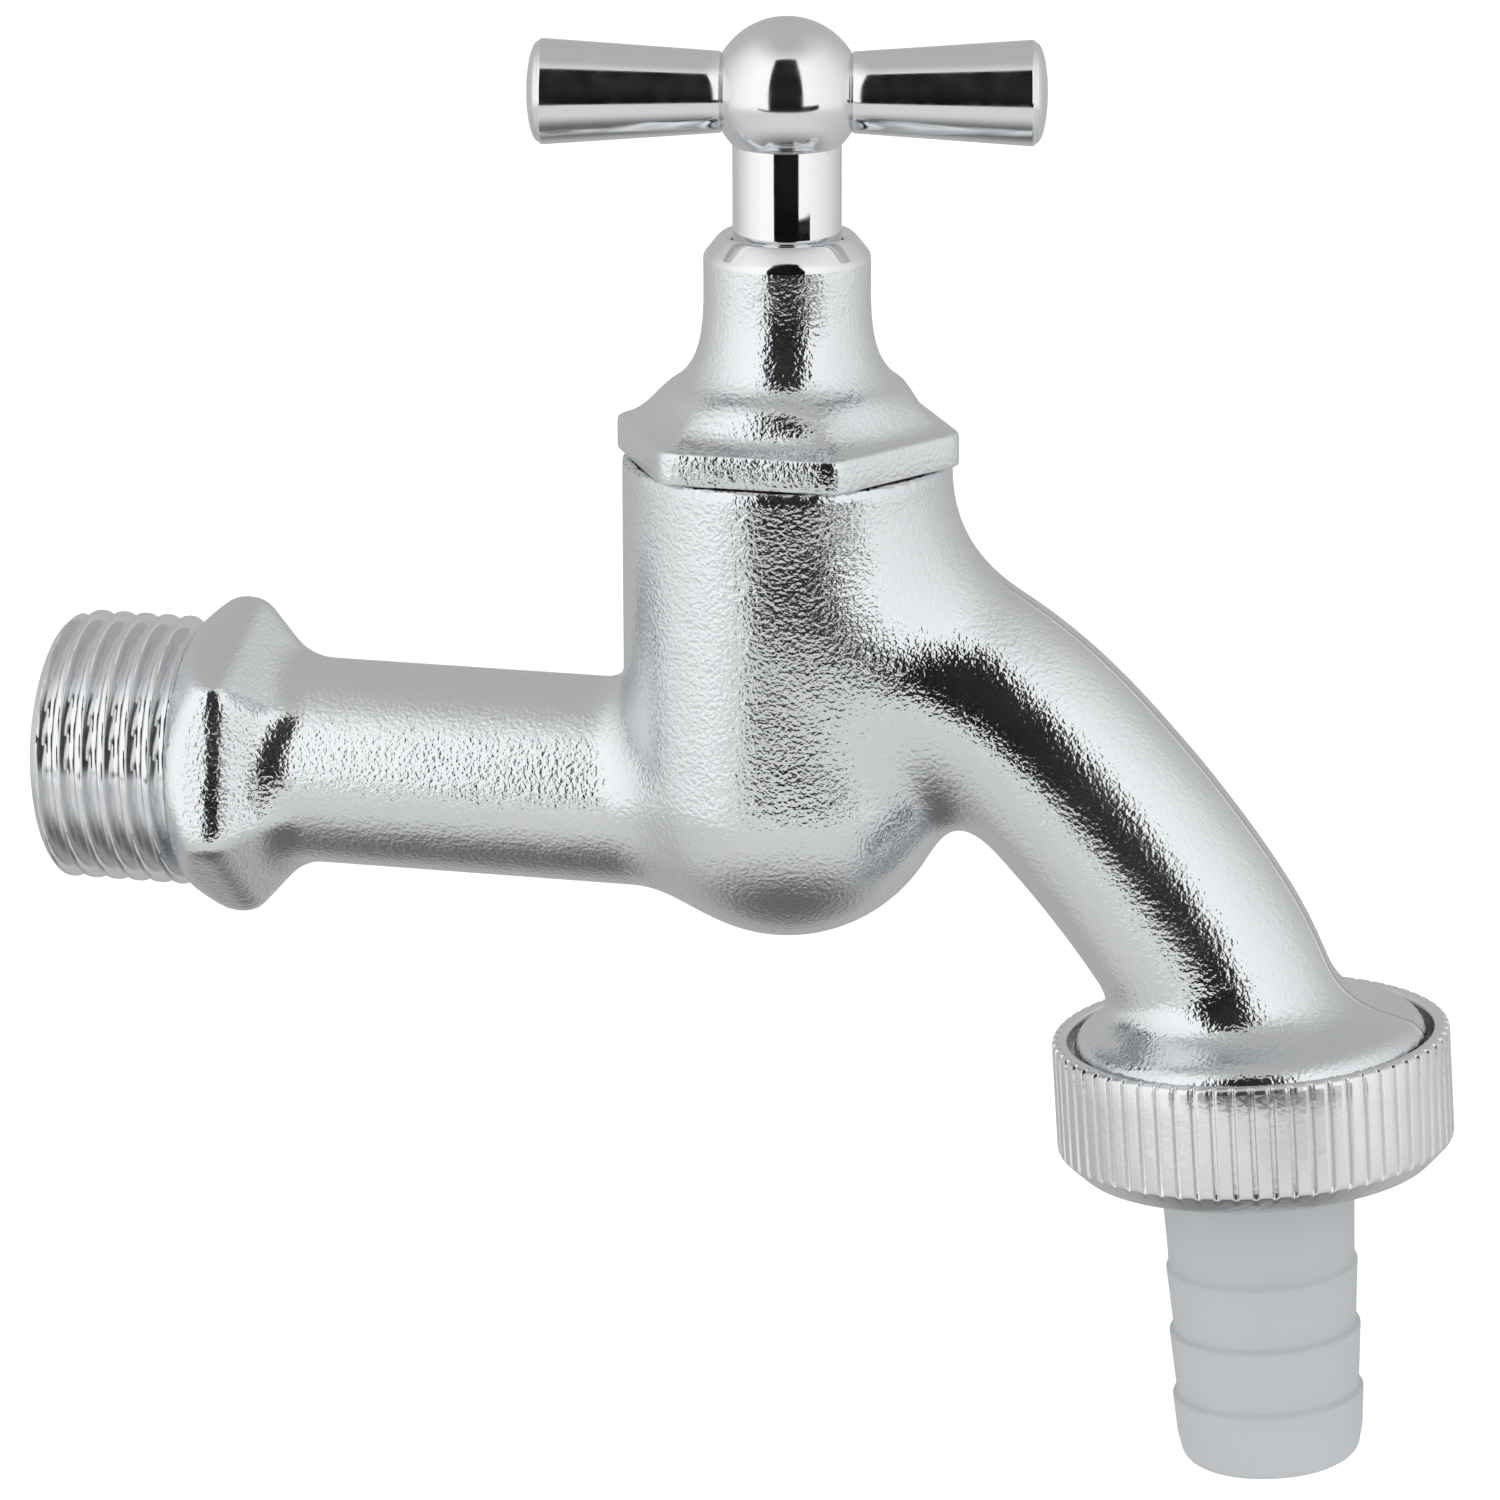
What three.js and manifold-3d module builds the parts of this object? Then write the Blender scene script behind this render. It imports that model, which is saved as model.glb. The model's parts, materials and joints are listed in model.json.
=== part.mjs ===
// Hose bib: a G1/2 wall tap with a ball-hubbed T-handle, a G3/4 union nut and a barbed hose tail.
// Millimetres, +Z up. The origin is on the inlet's axis, in the plane where its thread meets the
// hex collar. The inlet points along -X, the spout along +X and the spindle stands upright.
import * as THREE from "three";
import { mergeVertices } from "three/addons/utils/BufferGeometryUtils.js";
import Module from "manifold-3d";

const wasm = await Module();
wasm.setup();

// ---------- Driving dimensions ----------

const CLEAR = 0.3; // gap between pieces that touch
const PIPE_PITCH = 1.814; // G1/2 and G3/4: 14 threads to the inch
const FACET_TOLERANCE = 0.02; // facets closer to flat than this are merged
const DEG = Math.PI / 180;

const INLET = { major: 10.478, minor: 9.317, length: 11, bore: 6, tube: 7.96 };
const COLLAR = { halfFlats: 11, corner: 12.6, turn: 8 * DEG, chamferEnd: 2.5, hexEnd: 5.3, end: 10.4 };
const STEM_X = 47;
const BODY = { radius: 12.5, domeZ: 1.6, top: 26.25, recess: 11.4, recessZ: 25.2, spigot: 9.9 };
const CHAMBER = { lower: 10, lowerTop: 6.2, upper: 9.4, floor: 8.2, spigotSeat: 17.6 };
const SEAT = { bore: 4.8, crown: 6, top: 9.6 };
const SPOUT = { radius: 8.2, bore: 5.8 };
const OUTLET = { x: 83.25, z: -16.2, tilt: 3.7 * DEG, major: 13.22, minor: 12.06, end: 5.6, bore: 6.4 };
const FLANGE = { radius: 13.5, below: 1.1 };

const BONNET = {
  bottom: 26.5,
  hexTop: 29,
  halfFlats: 11.77,
  corner: 13.4,
  shoulder: 8.5,
  shoulderZ: 32.3,
  neck: 6.3,
  chamferZ: 41.9,
  top: 43.7,
  bore: 4.25,
  spigotBottom: 18,
  discRoom: 7.4,
  threadBottom: 20.2,
  threadTop: 25.6,
  chamberTop: 32.6,
};
const LEAD = { pitch: 2, major: 5.5, minor: 4.6, bottom: 17, top: 26 };
const STEM = { radius: 4.1, foot: 15, top: 50.1, socket: 2.3, socketTop: 21, pin: 3, pinTop: 53.6 };
const O_RING = { tube: 0.6, centre: 3.5, groove: 2.75, halfGroove: 0.9, heights: [34.6, 37.4] };
const JUMPER = { stem: 2, stemTop: 20.5, disc: 7, discBottom: 12.7, discTop: 14.2, stud: 1.5, studEnd: 7.4 };
const WASHER = { radius: 6.6, bottom: 9.9, hole: 1.8, nut: 3.1, nutBottom: 7.9 };

const BALL = { radius: 5.67, z: 54.29 };
const ARM = { turn: 10.5 * DEG, start: 4.95, rim: 18.5, tip: 19.45, thin: 3.05, thick: 3.96, stud: 1.7 };
const GRUB = { radius: 1.25, inner: 3.35, outer: 5.3 };

const NUT = {
  radius: 15.1,
  flutes: 64,
  fluteDepth: 0.32,
  fluted: 8.58,
  end: 10.2,
  endRadius: 13.4,
  mouth: 13.9,
  mouthDepth: 1.4,
  wall: 13.6,
  crest: 12.5,
  threadEnd: 5.9,
  seat: 12.4,
  lip: 8.7,
  lipBore: 8,
};
const TAIL = {
  flange: 11.9,
  flangeTop: 7.3,
  flangeEnd: 8.4,
  shank: 7.42,
  neck: 7.15,
  barb: 7.32,
  valley: 7,
  firstBarb: 18.5,
  barbPitch: 5.14,
  barbs: 3,
  taper: 6.85,
  taperEnd: 33.2,
  lipRadius: 5.9,
  end: 34.1,
  bore: 4.7,
};
const GASKET = { inner: 6.8, outer: 11.6, top: 5.9, bottom: 7 };

// ---------- Materials ----------

function metal(color, roughness) {
  return new THREE.MeshStandardMaterial({ color, roughness, metalness: 1 });
}

function plastic(color, roughness) {
  return new THREE.MeshStandardMaterial({ color, roughness, metalness: 0 });
}

const castChrome = metal(0xd2d5d7, 0.28);
const polishedChrome = metal(0xe4e6e8, 0.08);
const brightChrome = metal(0xd9dcde, 0.2);
const rawBrass = metal(0xc9a35a, 0.35);
const blackSteel = metal(0x3a3a3c, 0.4);
const blackRubber = plastic(0x1c1c1d, 0.8);
const redFibre = plastic(0x8a3b2a, 0.9);
const greyPlastic = plastic(0xbdc1c4, 0.55);

// ---------- Solids ----------

function toSolid(geometry) {
  const bare = geometry.index ? geometry.toNonIndexed() : geometry.clone();
  bare.deleteAttribute("normal");
  bare.deleteAttribute("uv");
  const merged = mergeVertices(bare, 1e-4);
  const corners = [];
  for (let i = 0; i < merged.index.count; i += 3) {
    const [a, b, c] = [0, 1, 2].map((k) => merged.index.getX(i + k));
    if (a !== b && b !== c && c !== a) corners.push(a, b, c);
  }
  const build = (triVerts) =>
    new wasm.Manifold(
      new wasm.Mesh({
        numProp: 3,
        vertProperties: merged.attributes.position.array,
        triVerts: new Uint32Array(triVerts),
      }),
    );
  const solid = build(corners);
  return solid.volume() > 0 ? solid : build(corners.reverse());
}

function toMesh(solid, name, material) {
  const mesh = solid.simplify(FACET_TOLERANCE).getMesh();
  const geometry = new THREE.BufferGeometry();
  const positions = new Float32Array(mesh.numVert * 3);
  for (let i = 0; i < mesh.numVert; i++) {
    positions.set(mesh.vertProperties.subarray(i * mesh.numProp, i * mesh.numProp + 3), i * 3);
  }
  geometry.setAttribute("position", new THREE.BufferAttribute(positions, 3));
  geometry.setIndex(new THREE.BufferAttribute(new Uint32Array(mesh.triVerts), 1));
  geometry.computeVertexNormals();
  const made = new THREE.Mesh(geometry, material);
  made.name = name;
  return made;
}

// A closed [radius, height] outline turned about the Z axis.
function turned(outline, segments = 40) {
  const points = outline.map(([r, z]) => new THREE.Vector2(r, z));
  const closed = outline[0][0] === 0 && outline.at(-1)[0] === 0;
  if (!closed) points.push(points[0].clone());
  const lathe = new THREE.LatheGeometry(points, segments);
  return toSolid(lathe.rotateX(Math.PI / 2));
}

function disc(radius, bottom, top, segments = 40) {
  return turned([[0, bottom], [radius, bottom], [radius, top], [0, top]], segments);
}

function ring(inner, outer, bottom, top, segments = 40) {
  return turned([[inner, bottom], [outer, bottom], [outer, top], [inner, top]], segments);
}

// Points on a round arc in the [radius, height] plane.
function arc(centreR, centreZ, radius, fromDeg, toDeg, steps) {
  return Array.from({ length: steps + 1 }, (_, i) => {
    const angle = (fromDeg + ((toDeg - fromDeg) * i) / steps) * DEG;
    return [centreR + radius * Math.cos(angle), centreZ + radius * Math.sin(angle)];
  });
}

// A skin over rings with equal point counts, with both ends capped.
function loft(rings) {
  const count = rings[0].length;
  const points = rings.flat();
  const index = [];
  for (let k = 0; k + 1 < rings.length; k++) {
    for (let i = 0; i < count; i++) {
      const a = k * count + i;
      const b = k * count + ((i + 1) % count);
      index.push(a, b, b + count, a, b + count, a + count);
    }
  }
  for (const [k, flip] of [[0, true], [rings.length - 1, false]]) {
    const centre = rings[k].reduce((sum, p) => sum.add(p), new THREE.Vector3()).divideScalar(count);
    points.push(centre);
    for (let i = 0; i < count; i++) {
      const a = k * count + i;
      const b = k * count + ((i + 1) % count);
      index.push(points.length - 1, flip ? b : a, flip ? a : b);
    }
  }
  const geometry = new THREE.BufferGeometry().setFromPoints(points);
  geometry.setIndex(index);
  return toSolid(geometry);
}

// A ring at a height, its radius given for each angle.
function ringAt(height, radiusAt, count) {
  return Array.from({ length: count }, (_, i) => {
    const angle = (2 * Math.PI * i) / count;
    const r = radiusAt(angle);
    return new THREE.Vector3(r * Math.cos(angle), r * Math.sin(angle), height);
  });
}

// Radius of a hexagon with a corner at angle zero and its corners rounded off.
function hexRadius(angle, halfFlats, corner) {
  const sector = Math.PI / 3;
  const fromFlat = (((angle % sector) + sector) % sector) - sector / 2;
  return Math.min(halfFlats / Math.cos(fromFlat), corner);
}

// A right-hand helical ridge about Z. Base and crest are half widths at their radii.
function ridge({ pitch, start, turns, baseR, base, crestR, crest, shift = 0 }) {
  const perTurn = 20;
  const steps = Math.round(turns * perTurn);
  const rings = Array.from({ length: steps + 1 }, (_, i) => {
    const angle = (2 * Math.PI * i) / perTurn;
    const z = start + shift + (pitch * i) / perTurn;
    return [[baseR, -base], [crestR, -crest], [crestR, crest], [baseR, base]].map(
      ([r, dz]) => new THREE.Vector3(r * Math.cos(angle), r * Math.sin(angle), z + dz),
    );
  });
  return loft(rings);
}

// A Whitworth-form ridge that stands on a core of the minor radius.
function pipeThread(major, minor, start, turns) {
  const sunk = 0.25;
  const flank = Math.tan(27.5 * DEG);
  const base = (PIPE_PITCH * 5) / 12 + sunk * flank;
  const crest = PIPE_PITCH / 12;
  return ridge({
    pitch: PIPE_PITCH, start, turns, baseR: minor - sunk, base, crestR: major, crest,
  });
}

function unite(...solids) {
  return solids.reduce((sum, solid) => sum.add(solid));
}

// A round section swept along a curve, as a solid.
function swept(curve, radius, steps) {
  const section = new THREE.Shape();
  section.absarc(0, 0, radius, 0, 2 * Math.PI);
  const options = { extrudePath: curve, steps, curveSegments: 14, bevelEnabled: false };
  return toSolid(new THREE.ExtrudeGeometry(section, options));
}

const alongX = (solid) => solid.rotate([0, 90, 0]);
const atStem = (solid) => solid.translate([STEM_X, 0, 0]);
const outletTurn = 180 - OUTLET.tilt / DEG;
const atOutlet = (solid) => solid.rotate([0, outletTurn, 0]).translate([OUTLET.x, 0, OUTLET.z]);

// ---------- Valve body ----------

function inletThread() {
  const { major, minor, length } = INLET;
  const overrun = PIPE_PITCH;
  const turns = length / PIPE_PITCH + 1.5;
  const raw = pipeThread(major, minor, -length - overrun, turns);
  const trim = turned([
    [0, -length],
    [minor + 0.5, -length],
    [major + 0.1, 0.8 - length],
    [major + 0.1, -0.4],
    [minor - 0.1, 0.6],
    [0, 0.6],
  ]);
  return alongX(unite(disc(minor, -length, 1), raw.intersect(trim)));
}

function collar() {
  const { halfFlats, corner, turn, chamferEnd, hexEnd, end } = COLLAR;
  const points = 45;
  const hex = (angle) => hexRadius(angle + turn, halfFlats, corner);
  const blend = (share, round) => (angle) => hex(angle) * (1 - share) + round * share;
  const front = (angle) => Math.min(hex(angle), halfFlats - 0.4);
  const rings = [
    ringAt(0, front, points),
    ringAt(chamferEnd, hex, points),
    ringAt(hexEnd, hex, points),
    ringAt(hexEnd + 2.4, blend(0.45, INLET.tube), points),
    ringAt(hexEnd + 3.9, blend(0.9, INLET.tube + 0.3), points),
    ringAt(end + 1, () => INLET.tube - 0.05, points),
  ];
  return alongX(loft(rings));
}

function bodyShell() {
  const { radius, domeZ, top } = BODY;
  const dome = arc(0, domeZ, radius, -90, 0, 8);
  dome[0] = [0, domeZ - radius];
  return turned([...dome, [radius, top], [0, top]], 48);
}

// The spout leaves the body's upper side, falls away and meets the outlet's flange.
function spoutCurve(lead = 0) {
  const points = [[3, 15.2], [15.65, 8.5], [24.3, 0.65], [32.1, -9.2], [36.1, -17.4 - lead]];
  return new THREE.CatmullRomCurve3(points.map(([x, z]) => new THREE.Vector3(STEM_X + x, 0, z)));
}

// Upright oval sections, [x, lowest z, highest z, half width], that blend the body into the spout.
function spoutRoot() {
  const ovals = [
    [4, -5, 22, 9.5],
    [12, -4.4, 22, 9.3],
    [14, -4, 19.9, 8.8],
    [16.5, -4.2, 18, 8.3],
    [19.5, -6.2, 15.8, 8.1],
    [22, -9, 13.8, 8],
  ];
  const count = 28;
  const rings = ovals.map(([x, low, high, half]) =>
    Array.from({ length: count }, (_, i) => {
      const angle = (2 * Math.PI * i) / count;
      const z = (low + high) / 2 + ((high - low) / 2) * Math.cos(angle);
      return new THREE.Vector3(STEM_X + x, half * Math.sin(angle), z);
    }),
  );
  return loft(rings);
}

function outletBoss() {
  const { major, minor, end } = OUTLET;
  const { radius, below } = FLANGE;
  const dome = [[8.4, -3.1], [8.9, -2.3], [10.4, -1.75], [12.2, -1.3], [13.1, -0.7], [radius, 0.2]];
  const core = turned([[0, -3.1], ...dome, [radius, below], [minor, below], [minor, end], [0, end]], 48);
  const raw = pipeThread(major, minor, below - PIPE_PITCH, (end - below) / PIPE_PITCH + 2);
  const trim = turned([
    [0, below - 0.1],
    [major + 0.1, below - 0.1],
    [major + 0.1, end - 0.9],
    [minor, end],
    [0, end],
  ]);
  return atOutlet(unite(core, raw.intersect(trim)));
}

function waterWay() {
  const { lower, lowerTop, upper, floor, spigotSeat } = CHAMBER;
  const inlet = alongX(disc(INLET.bore, -INLET.length - 1, STEM_X));
  const sphere = atStem(toSolid(new THREE.SphereGeometry(lower, 24, 14)).translate([0, 0, BODY.domeZ]));
  const lowerChamber = sphere.intersect(atStem(disc(lower + 1, -20, lowerTop)));
  const seatBore = atStem(disc(SEAT.bore, lowerTop - 1, SEAT.top + 1));
  const upperChamber = atStem(
    turned([
      [0, SEAT.top],
      [SEAT.crown, SEAT.top],
      [SEAT.crown + 0.2, floor],
      [upper, floor],
      [upper, spigotSeat],
      [BODY.spigot, spigotSeat],
      [BODY.spigot, BODY.recessZ],
      [BODY.recess, BODY.recessZ],
      [BODY.recess, BODY.top + 1],
      [0, BODY.top + 1],
    ]),
  );
  const spoutWay = swept(spoutCurve(1), SPOUT.bore, 10);
  const outletWay = atOutlet(disc(OUTLET.bore, -1.5, OUTLET.end + 1));
  return unite(inlet, lowerChamber, seatBore, upperChamber, spoutWay, outletWay);
}

function valveBody() {
  const tube = alongX(disc(INLET.tube, COLLAR.hexEnd, STEM_X));
  const spout = swept(spoutCurve(), SPOUT.radius, 12);
  const outer = unite(
    inletThread(), collar(), tube, atStem(bodyShell()), spoutRoot(), spout, outletBoss(),
  );
  return toMesh(outer.subtract(waterWay()), "valve_body", castChrome);
}

// ---------- Bonnet and what turns in it ----------

function bonnet() {
  const { halfFlats, corner, bottom, hexTop, shoulder, shoulderZ, neck, chamferZ, top } = BONNET;
  const points = 48;
  const hex = (angle) => hexRadius(angle, halfFlats, corner);
  const blend = (share) => (angle) => hex(angle) * (1 - share) + shoulder * share;
  const round = (radius) => () => radius;
  const outside = loft([
    ringAt(bottom, hex, points),
    ringAt(hexTop, hex, points),
    ringAt(hexTop + 1.1, blend(0.12), points),
    ringAt(hexTop + 2.2, blend(0.4), points),
    ringAt(shoulderZ, blend(1), points),
    ringAt(shoulderZ + 1, round(7.2), points),
    ringAt(shoulderZ + 2.4, round(6.6), points),
    ringAt(shoulderZ + 4, round(neck), points),
    ringAt(chamferZ, round(neck), points),
    ringAt(top - 0.7, round(5.75), points),
    ringAt(top, round(4.9), points),
  ]);
  const spigot = disc(BODY.spigot - CLEAR, BONNET.spigotBottom, bottom + 1);
  const wall = LEAD.major + 0.35;
  const bore = turned([
    [0, BONNET.spigotBottom - 1],
    [BONNET.discRoom, BONNET.spigotBottom - 1],
    [BONNET.discRoom, BONNET.threadBottom],
    [wall, BONNET.threadBottom],
    [wall, BONNET.chamberTop],
    [BONNET.bore, BONNET.chamberTop],
    [BONNET.bore, top - 0.5],
    [BONNET.bore + 0.7, top + 0.05],
    [0, top + 0.05],
  ]);
  const inner = ridge({
    pitch: LEAD.pitch, start: BONNET.spigotBottom - LEAD.pitch, turns: 7,
    baseR: wall + 0.2, base: 0.42, crestR: LEAD.minor + 0.3, crest: 0.2, shift: LEAD.pitch / 2,
  });
  const innerThread = inner.intersect(
    ring(LEAD.minor - 1, wall + 1, BONNET.threadBottom, BONNET.threadTop),
  );
  const solid = unite(unite(outside, spigot).subtract(bore), innerThread);
  return toMesh(atStem(solid), "bonnet", castChrome);
}

function bonnetGasket() {
  const solid = ring(BODY.spigot + 0.1, BODY.recess - 0.2, BODY.recessZ + 0.2, BONNET.bottom - 0.2);
  return toMesh(atStem(solid), "bonnet_gasket", redFibre);
}

function spindle() {
  const { radius, foot, top, socket, socketTop, pin, pinTop } = STEM;
  const grooves = O_RING.heights.flatMap((z) => [
    [radius, z - O_RING.halfGroove],
    [O_RING.groove, z - O_RING.halfGroove],
    [O_RING.groove, z + O_RING.halfGroove],
    [radius, z + O_RING.halfGroove],
  ]);
  const core = turned([
    [0, foot],
    [LEAD.minor - 0.2, foot],
    [LEAD.minor, foot + 0.4],
    [LEAD.minor, LEAD.top],
    [radius, LEAD.top + 0.5],
    ...grooves,
    [radius, top],
    [pin, top],
    [pin, pinTop],
    [0, pinTop],
  ]);
  const raw = ridge({
    pitch: LEAD.pitch, start: BONNET.spigotBottom - LEAD.pitch, turns: 6,
    baseR: LEAD.minor - 0.2, base: 0.58, crestR: LEAD.major, crest: 0.36,
  });
  const trim = disc(LEAD.major + 1, LEAD.bottom, LEAD.top);
  const solid = unite(core, raw.intersect(trim)).subtract(disc(socket, foot - 1, socketTop));
  return toMesh(atStem(solid), "spindle", polishedChrome);
}

function spindleRing(height, name) {
  const section = arc(O_RING.centre, height, O_RING.tube, 0, 315, 7);
  return toMesh(atStem(turned(section, 32)), name, blackRubber);
}

function jumper() {
  const { stem, stemTop, disc: radius, discBottom, discTop, stud, studEnd } = JUMPER;
  const solid = turned([
    [0, studEnd],
    [stud, studEnd],
    [stud, discBottom],
    [radius, discBottom],
    [radius, discTop],
    [stem + 1.4, discTop],
    [stem, discTop + 0.4],
    [stem, stemTop],
    [0, stemTop],
  ]);
  return toMesh(atStem(solid), "jumper", rawBrass);
}

function valveWasher() {
  const solid = ring(WASHER.hole, WASHER.radius, WASHER.bottom, JUMPER.discBottom - CLEAR);
  return toMesh(atStem(solid), "valve_washer", blackRubber);
}

function washerNut() {
  const { nut, nutBottom, bottom, hole } = WASHER;
  const hex = (angle) => hexRadius(angle, nut, nut * 1.15);
  const block = loft([ringAt(nutBottom, hex, 24), ringAt(bottom - CLEAR, hex, 24)]);
  const solid = block.subtract(disc(hole, nutBottom - 1, bottom));
  return toMesh(atStem(solid), "washer_nut", rawBrass);
}

// ---------- Handle, drawn about the ball's centre with its arms along X ----------

function handleHub() {
  const { radius } = BALL;
  const ball = toSolid(new THREE.SphereGeometry(radius, 32, 20));
  const seat = STEM.top + CLEAR - BALL.z;
  const cut = disc(radius + 1, -radius - 1, seat);
  const socket = disc(STEM.pin + CLEAR, -radius - 1, STEM.pinTop + CLEAR - BALL.z);
  const armSocket = alongX(disc(ARM.stud + CLEAR, 3.5, radius + 1, 24));
  const armSeat = alongX(disc(ARM.thick, ARM.start - 0.15, radius + 1, 24));
  const screwHole = disc(GRUB.radius + CLEAR, 2.5, radius + 1, 24).rotate([-90, 0, 0]);
  const solid = [cut, socket, armSocket, armSocket.mirror([1, 0, 0]), armSeat, armSeat.mirror([1, 0, 0])]
    .reduce((rest, tool) => rest.subtract(tool), ball)
    .subtract(screwHole);
  return toMesh(solid, "handle_hub", polishedChrome);
}

function handleArm(side, name) {
  const { start, rim, tip, thin, thick, stud } = ARM;
  const bulge = tip - rim;
  const dome = [80, 60, 40, 20].map((deg) => [
    thick * Math.sin(deg * DEG),
    rim + bulge * Math.cos(deg * DEG),
  ]);
  const outline = [
    [0, start - 1.1], [stud, start - 1.1], [stud, start], [thin, start], [thick, rim], ...dome, [0, tip],
  ];
  const arm = alongX(turned(outline, 32));
  return toMesh(side > 0 ? arm : arm.mirror([1, 0, 0]), name, polishedChrome);
}

function grubScrew() {
  const solid = disc(GRUB.radius, GRUB.inner, GRUB.outer, 20).rotate([-90, 0, 0]);
  return toMesh(solid, "hub_grub_screw", blackSteel);
}

// ---------- Union nut and hose tail, drawn down the outlet's axis ----------

function fluteRadius(angle) {
  const phase = (((angle * NUT.flutes) / (2 * Math.PI)) % 1 + 1) % 1;
  return phase < 0.2 ? NUT.radius - NUT.fluteDepth : NUT.radius;
}

// Each flute has a groove of two points and a land of two points.
function flutedRing(height, inset = 0) {
  const points = [];
  for (let i = 0; i < NUT.flutes; i++) {
    for (const share of [0.02, 0.18, 0.28, 0.92]) {
      const angle = (2 * Math.PI * (i + share)) / NUT.flutes;
      const r = fluteRadius(angle) - inset;
      points.push(new THREE.Vector3(r * Math.cos(angle), r * Math.sin(angle), height));
    }
  }
  return points;
}

function unionNut() {
  const bevel = NUT.radius - NUT.endRadius;
  const outside = loft([
    flutedRing(0, 0.25),
    flutedRing(0.25),
    flutedRing(NUT.fluted),
    flutedRing(NUT.end, bevel),
  ]);
  const bore = turned([
    [0, -1],
    [NUT.mouth, -1],
    [NUT.mouth, NUT.mouthDepth],
    [NUT.wall, NUT.mouthDepth + 0.2],
    [NUT.wall, NUT.threadEnd],
    [NUT.seat, NUT.threadEnd + 0.4],
    [NUT.seat, NUT.lip],
    [NUT.lipBore, NUT.lip],
    [NUT.lipBore, NUT.end + 1],
    [0, NUT.end + 1],
  ], 64);
  const inner = ridge({
    pitch: PIPE_PITCH, start: FLANGE.below - 2 * PIPE_PITCH, turns: 6,
    baseR: NUT.wall + 0.2, base: 0.56, crestR: NUT.crest, crest: 0.1, shift: PIPE_PITCH / 2,
  });
  const span = ring(NUT.crest - 1, NUT.wall + 1, FLANGE.below + 0.9, NUT.threadEnd, 64);
  const solid = unite(outside.subtract(bore), inner.intersect(span));
  return toMesh(solid, "union_nut", brightChrome);
}

function tailGasket() {
  const solid = ring(GASKET.inner, GASKET.outer, GASKET.top, GASKET.bottom);
  return toMesh(solid, "tail_gasket", blackRubber);
}

function hoseTail() {
  const { firstBarb, barbPitch, barbs, barb, valley } = TAIL;
  const rings = Array.from({ length: barbs }, (_, k) => {
    const s = firstBarb + k * barbPitch;
    const inner = k ? valley : TAIL.neck;
    return [[inner, s - 0.35], [barb - 0.05, s - 0.1], [barb, s + 0.15]];
  }).flat();
  const solid = turned([
    [TAIL.bore, TAIL.flangeTop],
    [TAIL.flange, TAIL.flangeTop],
    [TAIL.flange, TAIL.flangeEnd],
    [TAIL.shank + 0.1, TAIL.flangeEnd],
    [TAIL.shank, NUT.end + 0.6],
    [TAIL.neck, firstBarb - 2],
    ...rings,
    [TAIL.taper, TAIL.taperEnd - 0.8],
    [TAIL.taper - 0.25, TAIL.taperEnd],
    [TAIL.lipRadius + 0.3, TAIL.end - 0.3],
    [TAIL.lipRadius, TAIL.end],
    [TAIL.bore, TAIL.end],
  ]);
  return toMesh(solid, "hose_tail", greyPlastic);
}

// ---------- Assembly ----------

const hoseBib = new THREE.Group();
hoseBib.add(valveBody(), bonnet(), bonnetGasket(), spindle(), jumper(), valveWasher(), washerNut());
O_RING.heights.forEach((height, i) => {
  hoseBib.add(spindleRing(height, i ? "spindle_o_ring_upper" : "spindle_o_ring_lower"));
});

const handle = new THREE.Group();
handle.position.set(STEM_X, 0, BALL.z);
handle.rotation.z = ARM.turn;
handle.add(handleHub(), handleArm(1, "handle_arm_right"), handleArm(-1, "handle_arm_left"), grubScrew());
hoseBib.add(handle);

const union = new THREE.Group();
union.position.set(OUTLET.x, 0, OUTLET.z);
union.rotation.y = Math.PI - OUTLET.tilt;
union.add(unionNut(), tailGasket(), hoseTail());
hoseBib.add(union);

export default hoseBib;
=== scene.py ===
"""Looks of the hose bib: cast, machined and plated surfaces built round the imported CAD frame."""
import json
import math

import bpy
import numpy as np
import openvdb
from mathutils import Matrix, Vector


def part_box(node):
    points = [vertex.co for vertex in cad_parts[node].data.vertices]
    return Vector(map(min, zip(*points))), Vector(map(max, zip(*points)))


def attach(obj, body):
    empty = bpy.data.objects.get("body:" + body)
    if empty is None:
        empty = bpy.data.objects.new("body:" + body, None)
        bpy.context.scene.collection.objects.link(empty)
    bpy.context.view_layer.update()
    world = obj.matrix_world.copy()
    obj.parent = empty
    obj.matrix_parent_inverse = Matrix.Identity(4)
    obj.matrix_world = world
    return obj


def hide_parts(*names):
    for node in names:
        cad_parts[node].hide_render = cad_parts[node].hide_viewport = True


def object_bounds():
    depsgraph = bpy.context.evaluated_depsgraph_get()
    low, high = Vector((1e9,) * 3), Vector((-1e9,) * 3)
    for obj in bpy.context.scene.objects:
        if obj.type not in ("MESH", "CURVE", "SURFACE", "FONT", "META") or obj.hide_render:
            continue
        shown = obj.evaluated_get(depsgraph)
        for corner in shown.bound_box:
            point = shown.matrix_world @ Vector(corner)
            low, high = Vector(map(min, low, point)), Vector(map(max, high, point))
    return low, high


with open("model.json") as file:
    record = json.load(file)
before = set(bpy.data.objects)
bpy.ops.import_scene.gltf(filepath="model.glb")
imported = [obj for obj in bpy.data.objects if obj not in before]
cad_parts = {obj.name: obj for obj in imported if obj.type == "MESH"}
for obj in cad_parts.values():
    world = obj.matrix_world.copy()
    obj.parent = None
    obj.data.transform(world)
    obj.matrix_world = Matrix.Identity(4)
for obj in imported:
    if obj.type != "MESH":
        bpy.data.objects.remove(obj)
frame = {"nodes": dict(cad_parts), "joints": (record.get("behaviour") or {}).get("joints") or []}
cad_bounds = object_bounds()

MM = 0.001
TAU = 2 * math.pi

# ---------- Sizes in millimetres, read from the frame where it holds them ----------


def node_box(name):
    low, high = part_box(name)
    return np.array(low) / MM, np.array(high) / MM


def joint(name):
    return next(j for j in frame["joints"] if j["name"] == name)


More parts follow.
